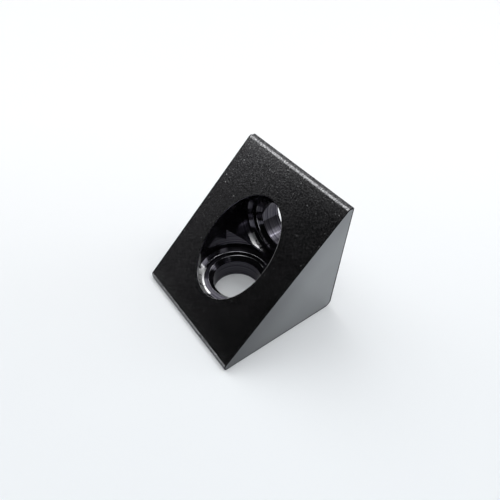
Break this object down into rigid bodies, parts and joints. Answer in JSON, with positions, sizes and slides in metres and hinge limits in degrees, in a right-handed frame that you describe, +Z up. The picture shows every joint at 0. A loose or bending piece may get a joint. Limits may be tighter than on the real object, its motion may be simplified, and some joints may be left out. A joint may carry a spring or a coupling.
{
  "type": "t slot corner bracket",
  "caption": "Solid right-angle wedge that bolts slotted extrusions together at a corner, with a counterbored screw hole through each leg, both opening in an oval mouth on its slope.",
  "frame": {"origin": "on the axis of the base hole, in the base seating face, midway across the width", "axes": "+Z up the base hole's axis, out of its head recess; +Y towards the back seating face, square to it; +X across the width. The slope faces -Y and up."},
  "size_m": [0.02, 0.0191, 0.0191],
  "materials": {
    "black_anodised": "black anodised: fine matt grain on the extruded faces, smooth satin on the sawn ends, glossy bored recesses"
  },
  "bodies": {
    "root": {"corner_bracket": "black_anodised"}
  },
  "joints": []
}
